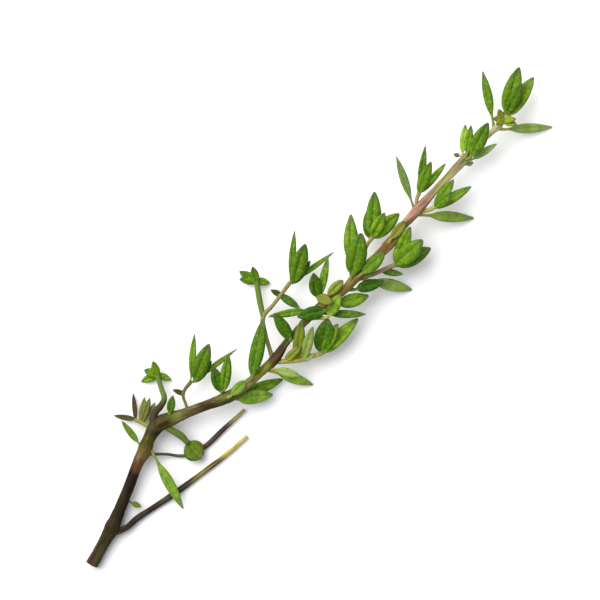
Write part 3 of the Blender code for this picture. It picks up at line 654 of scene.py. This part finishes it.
def makeLeaf(design, at):
    # one leaf with its base at the place: waved, thickened, twisted, bent, then laid in its pose
    activate(leafSheets[design["kind"]])
    bpy.ops.object.duplicate()
    blade = bpy.context.object
    length, width = design["length"] * mm, design["width"] * leafCut["spread"] * mm
    blade.scale = (length, width * chance.uniform(*leafCut["depth"]), width)
    bpy.ops.object.transform_apply(scale=True)
    lean, twist = leafCut["lean"], leafCut["twist"]
    turns = (90 + chance.uniform(-lean, lean), -design["rise"], design["heading"])
    blade.rotation_euler = [math.radians(turn) for turn in turns]
    blade.location = at * mm
    wave = leafCut["wave"] * min(1.0, design["length"] / leafCut["waveLength"]) * mm
    applyModifier(blade, "Wave", "DISPLACE", texture=leafWave, texture_coords="GLOBAL", direction="Y",
                  strength=wave, mid_level=0.5)
    applyModifier(blade, "Thickness", "SOLIDIFY", thickness=leafCut["thickness"] * mm, offset=-1,
                  material_offset=1, material_offset_rim=0, use_even_offset=False)
    applyModifier(blade, "Rounding", "SUBSURF", levels=1, render_levels=1)
    applyModifier(blade, "Twist", "SIMPLE_DEFORM", deform_method="TWIST", deform_axis="X",
                  angle=math.radians(chance.uniform(-twist, twist)))
    applyModifier(blade, "Bend", "SIMPLE_DEFORM", deform_method="BEND", deform_axis="Z",
                  angle=-math.radians(design["bend"]))
    bpy.ops.object.transform_apply(location=True, rotation=True, scale=True)
    bpy.ops.object.shade_smooth()
    paint(blade, design["look"])
    return blade


def direction(design):
    # the way that a leaf points, a unit long
    heading, rise = math.radians(design["heading"]), math.radians(design["rise"])
    return Vector((math.cos(heading) * math.cos(rise), math.sin(heading) * math.cos(rise), math.sin(rise)))


def makeTube(points, material, rings=6, sides=10, profile=None):
    # a tapering round tube, or one with its own profile, on a smooth curve through the points
    bpy.ops.curve.primitive_bezier_curve_add(radius=mm)
    tube = bpy.context.object
    curve = tube.data
    spline = curve.splines[0]
    spline.bezier_points.add(len(points) - 2)
    for knot, (along, across, up, radius) in zip(spline.bezier_points, points):
        knot.co = (along * mm, across * mm, up * mm)
        knot.radius = radius
        knot.handle_left_type = knot.handle_right_type = "AUTO"
    spline.resolution_u = rings
    spline.radius_interpolation = "CARDINAL"
    curve.use_fill_caps = True
    if profile:
        curve.bevel_mode = "OBJECT"
        curve.bevel_object = profile
    else:
        curve.bevel_depth = mm
        curve.bevel_resolution = (sides - 4) // 2  # four sides, and two more for each step
    bpy.ops.object.convert(target="MESH")
    tube = bpy.context.object
    bpy.ops.object.mode_set(mode="EDIT")
    bpy.ops.mesh.select_all(action="SELECT")
    bpy.ops.mesh.remove_doubles(threshold=1e-6)
    bpy.ops.mesh.normals_make_consistent(inside=False)
    bpy.ops.object.mode_set(mode="OBJECT")
    bpy.ops.object.shade_smooth()
    tube.data.materials.clear()
    tube.data.materials.append(material)
    return tube


def onStem(spot):
    # the nearest point of the stem's centre line
    knots = [place(point) for point in mainStem["points"]]
    nearest = []
    for start, end in zip(knots, knots[1:]):
        run = end - start
        share = min(1.0, max(0.0, (spot - start).dot(run) / run.length_squared))
        nearest.append(start + run * share)
    return min(nearest, key=lambda point: (point - spot).length)


def rootOf(first, second):
    # where a stalk that starts at first and goes on to second leaves the stem's middle
    back = (first - second).normalized()
    gap = (onStem(first) - first).length
    return onStem(first + back * gap * roots["reach"])


def routeFrom(start, points):
    # points with a radius each, which are measured from a start
    return [(*place(start, point), point[3]) for point in points]


def rooted(points, flare):
    # a stalk or a twig with one more point, in the middle of the stem
    return [(*rootOf(place(points[0]), place(points[1])), points[0][3] * flare), *points]


def makePetiole(design, at):
    # the leaf's own stalk, from inside the stem to under the blade
    cut = petioleCut
    ahead = direction(design)
    stem = rootOf(at, at + ahead)
    start = stem + (at - stem) * cut["start"]
    end = at + ahead * design["length"] * leafKinds[design["kind"]]["stalk"] * cut["end"]
    drop = Vector((0, 0, -cut["drop"]))
    size = min(1.0, design["width"] / cut["fullWidth"])
    points = [(*spot, radius * size) for spot, radius in zip((start, at + drop, end + drop), cut["radii"])]
    petiole = makeTube(points, materials["stalk"], rings=cut["rings"])
    look = design["look"]
    paint(petiole, {"tone": look["tone"], "dry": look["dry"], "flush": 0.0, "foot": cut["foot"]})
    return petiole


def finishPiece(node, parts):
    piece = joined(parts, sprig["prefix"] + node)
    piece.data.transform(sprigPlace)
    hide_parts(node)
    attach(piece, "root")


materials = {
    "leafTop": makeLeafTop(),
    "leafUnder": makeLeafUnder(),
    "stalk": makeStalkSkin(),
    "cutWood": makeCutWood(),
    "pith": makePith(),
}
leafWave = bpy.data.textures.new("leafWave", "CLOUDS")
leafWave.noise_scale = leafCut["waveSize"] * mm
leafSheets = {name: makeLeafSheet(name, kind) for name, kind in leafKinds.items()}
middle = Vector((*sprig["middle"], 0)) * mm
sprigPlace = Matrix.Translation(-middle)
print("leaf sheets made")

for node, (whorl, design) in leaves.items():
    at = place(mainStem["points"][whorls[whorl]], design["base"])
    finishPiece(node, [makeLeaf(design, at), makePetiole(design, at)])
print(len(leaves), "single leaves made")

for node, (whorl, stalks, shootLeaves) in shoots.items():
    start = place(mainStem["points"][whorls[whorl]])
    parts = []
    for number, design in enumerate(stalks):
        points = routeFrom(start, design["points"])
        if number == 0:  # it grows out of the stem
            points = rooted(points, roots["stalkFlare"])
        parts.append(makeTube(points, materials["stalk"]))
        paint(parts[-1], design["look"])
    for number, point, design in shootLeaves:
        ahead = direction(design)
        sunk = -leafCut["sunk"] * Vector((ahead.x, ahead.y, 0)).normalized()
        at = place(start, stalks[number]["points"][point], design["base"], sunk)
        parts.append(makeLeaf(design, at))
    finishPiece(node, parts)
print(len(shoots), "shoots made")

# bark of twigs and stem: the grain is drawn out by stretch, and colours blend over so many points each
# way and wander along it by wobble
twigBark = {
    "roughness": (0.62, 0.55), "shine": 0.15,
    "stretch": 6.0, "blend": 0.25, "wobble": 0.05, "dark": "#17110b",
}
twigColours = {
    "lower_twig": [
        (0, "#281e12", "#463626"), (3.4, "#282616", "#46402c"), (4.9, "#6d6630", "#857a3c"),
        (5.4, "#3d2f1e", "#8b7f40"), (5.9, "#a39b45", "#c6bd70"), (7.3, "#a9a254", "#cfc88a"),
    ],
    "fine_twig": [
        (0, "#4c4236", "#6e6254"), (3.2, "#574a3c", "#7c6f5c"), (4.6, "#2c2319", "#4d4032"),
        (6.3, "#8b7f50", "#a89f6c"), (7.2, "#96905a", "#b9b384"),
    ],
}
for node, (whorl, route) in twigs.items():
    start = place(mainStem["points"][whorls[whorl]])
    points = rooted(routeFrom(start, route), roots["twigFlare"])
    settings = twigBark | {"points": len(points) - 1}
    bark = makeBark(node + "Bark", lengthOf(points), twigColours[node], settings)
    finishPiece(node, [makeTube(points, bark, rings=10, sides=14)])
print(len(twigs), "twigs made")

stemBark = {
    "roughness": (0.62, 0.50), "shine": 0.12,
    "stretch": 7.0, "blend": 0.3, "wobble": 0.02, "dark": "#1a120a",
}
stemColours = [
    (0, "#2e2410", "#483c20"), (0.8, "#2c220a", "#40341a"), (2.4, "#151104", "#29200b"),
    (4.7, "#42290f", "#5a3c20"), (5.3, "#5e4a30", "#80694a"), (5.8, "#544a20", "#72662e"),
    (6.3, "#3c3c0c", "#58561c"), (7.2, "#2c2308", "#443a1c"), (9.1, "#3c4210", "#5c6020"),
    (9.4, "#5e6028", "#7e7c40"), (9.8, "#4a4420", "#6e6238"), (10.6, "#332910", "#4f4120"),
    (11.4, "#42401a", "#625e2e"), (12.1, "#36420a", "#58621c"), (12.8, "#646236", "#8e8850"),
    (13.7, "#5c6414", "#7e8428"), (14.7, "#302408", "#4e3c1a"), (15.9, "#465212", "#687434"),
    (16.6, "#5a4a20", "#7e6c3a"), (18.4, "#685620", "#88763a"), (21.6, "#6e501e", "#92703a"),
    (22.4, "#6e6828", "#908644"), (23.3, "#806048", "#a47e66"), (24.3, "#907456", "#b89a7a"),
    (24.8, "#84843e", "#acac66"), (25.6, "#8c785c", "#b09a7c"), (25.9, "#787246", "#9a9464"),
    (26.9, "#aca272", "#d6cd9c"),
]


def makeStemProfile(cut):
    # the section of the stem: round, with four soft corners and fine ribs
    bpy.ops.mesh.primitive_circle_add(vertices=cut["sides"], radius=mm)
    profile = bpy.context.object
    profile.name = "stemProfile"
    bpy.ops.object.mode_set(mode="EDIT")
    cage = bmesh.from_edit_mesh(profile.data)
    centre = (0, 0, 0)
    pick(cage, "verts", lambda vertex: abs(vertex.co.x * vertex.co.y) > cut["cornerFrom"] * mm * mm)
    bpy.ops.transform.resize(value=(1 + cut["corners"],) * 3, center_override=centre)
    pick(cage, "verts", lambda vertex: vertex.index % 2)
    bpy.ops.transform.resize(value=(1 - cut["ribs"],) * 3, center_override=centre)
    bpy.ops.object.mode_set(mode="OBJECT")
    bpy.ops.object.convert(target="CURVE")
    return bpy.context.object


def makeMainStem(cut):
    knots = cut["points"]
    profile = makeStemProfile(cut)
    bark = makeBark("thymeStemBark", lengthOf(knots), stemColours, stemBark | {"points": len(knots) - 1})
    stem = makeTube(knots, bark, rings=cut["rings"], profile=profile)
    bpy.data.objects.remove(profile)
    bpy.ops.object.mode_set(mode="EDIT")
    cage = bmesh.from_edit_mesh(stem.data)
    for number in whorls.values():  # a raised ring at each whorl, where the leaf bases join
        centre = place(knots[number]) * mm
        for reach, swell in cut["swellings"]:
            pick(cage, "verts", lambda vertex: abs(vertex.co.x - centre.x) < reach * mm)
            bpy.ops.transform.resize(value=(1, swell, swell), center_override=centre)
    bpy.ops.object.mode_set(mode="OBJECT")
    lumps = bpy.data.textures.new("stemLumps", "CLOUDS")
    lumps.noise_scale = cut["lumpSize"] * mm
    applyModifier(stem, "Lumps", "DISPLACE", texture=lumps, texture_coords="LOCAL",
                  strength=cut["lumps"] * mm, mid_level=0.5)
    for kind, *_ in cut["cutFace"]:
        stem.data.materials.append(materials[kind])
    bpy.ops.object.mode_set(mode="EDIT")
    cage = bmesh.from_edit_mesh(stem.data)
    capEnd = cut["capWithin"] * mm  # only the caps have more than four sides
    pick(cage, "faces", lambda face: len(face.verts) > 4 and face.calc_center_median().x < capEnd)
    for slotNumber, (_, inwards, outwards) in enumerate(cut["cutFace"], 1):
        bpy.ops.mesh.inset(thickness=inwards * mm, depth=outwards * mm)
        stem.active_material_index = slotNumber
        bpy.ops.object.material_slot_assign()
    bpy.ops.object.mode_set(mode="OBJECT")
    return stem


finishPiece("main_stem", [makeMainStem(mainStem)])
for sheet in leafSheets.values():
    bpy.data.objects.remove(sheet)
print("stem made")

stage = {  # in metres and watts, with the lamp's height and bearing in degrees
    "floor": "#f4f4f2",
    "size": 4.0,
    "sky": "#f6f6ff",
    "daylight": 0.53,
    "lamp": {"watts": 15.5, "size": 1.1, "away": 0.9, "height": 50, "from": 92},
}


def makeStage(settings):
    bpy.ops.mesh.primitive_plane_add(size=settings["size"])
    floor = bpy.context.object
    floor.name = "floor"
    # painted board: matt, so that only the soft shadow shows on it
    material, *_ = newMaterial("mattFloor", {
        "Base Color": hexColour(settings["floor"]), "Roughness": 0.9, "Specular IOR Level": 0.1,
    })
    floor.data.materials.append(material)
    world = bpy.data.worlds.new("softDaylight")
    world.use_nodes = True
    sky = world.node_tree.nodes["Background"]
    sky.inputs["Color"].default_value = hexColour(settings["sky"])
    sky.inputs["Strength"].default_value = settings["daylight"]
    bpy.context.scene.world = world
    lamp = settings["lamp"]
    height, bearing = math.radians(lamp["height"]), math.radians(lamp["from"])
    level = math.cos(height)
    spot = Vector((math.cos(bearing) * level, math.sin(bearing) * level, math.sin(height)))
    bpy.ops.object.light_add(type="AREA", location=spot * lamp["away"])
    light = bpy.context.object
    light.name = "softLamp"
    light.rotation_euler = (-spot).to_track_quat("-Z", "Y").to_euler()
    light.data.shape = "DISK"
    light.data.size = lamp["size"]
    light.data.energy = lamp["watts"]


view = {
    "turn": -47.65,  # the sprig runs up to the right across the view
    "centre": (1.52, 0.78),  # what the camera looks straight down on, in mm from the frame's origin
    "width": 110.25,  # mm across the view
    "height": 1200,
    "depth": 10,  # metres that the camera sees
}


def makeCamera(settings):
    bpy.ops.object.camera_add(location=(*[c * mm for c in settings["centre"]], settings["height"] * mm))
    camera = bpy.context.object
    camera.rotation_euler = (0, 0, math.radians(settings["turn"]))
    camera.data.lens = camera.data.sensor_width * settings["height"] / settings["width"]
    camera.data.clip_end = settings["depth"]
    bpy.context.scene.camera = camera


makeStage(stage)
makeCamera(view)
bpy.context.scene.view_settings.view_transform = "Standard"
print("stage and camera made")
